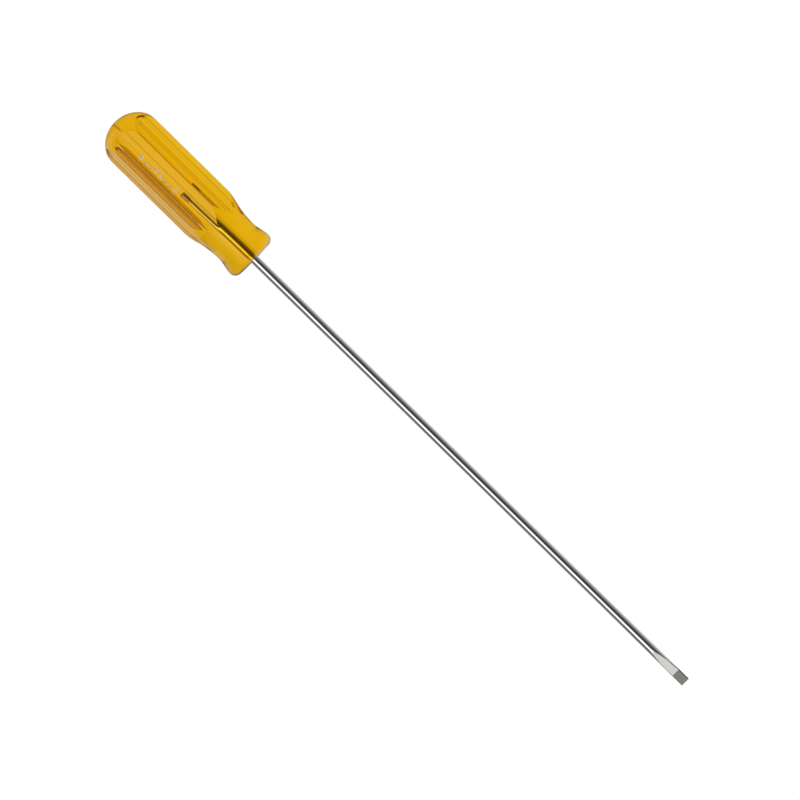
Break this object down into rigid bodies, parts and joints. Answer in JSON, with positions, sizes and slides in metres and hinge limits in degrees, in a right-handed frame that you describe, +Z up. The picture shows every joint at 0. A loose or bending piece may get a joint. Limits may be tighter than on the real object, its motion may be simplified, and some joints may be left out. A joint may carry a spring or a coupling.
{
  "type": "slotted screwdriver",
  "caption": "Long slotted screwdriver: clear amber fluted handle with a domed butt and flared collar, slim round steel blade with a ground tip.",
  "frame": {"origin": "on the surface that the tool rests on, under the middle of its length and width", "axes": "+X along the blade towards its tip, +Z up, square to one flat of the handle and to the flats of the tip, +Y across the flats"},
  "size_m": [0.4036, 0.0318, 0.0276],
  "materials": {
    "amber_acetate": "clear amber cellulose acetate, polished",
    "plated_steel": "nickel-chrome plate on the bar, bare ground steel at the tip"
  },
  "bodies": {
    "root": {"handle": "amber_acetate", "blade": "plated_steel"}
  },
  "joints": []
}
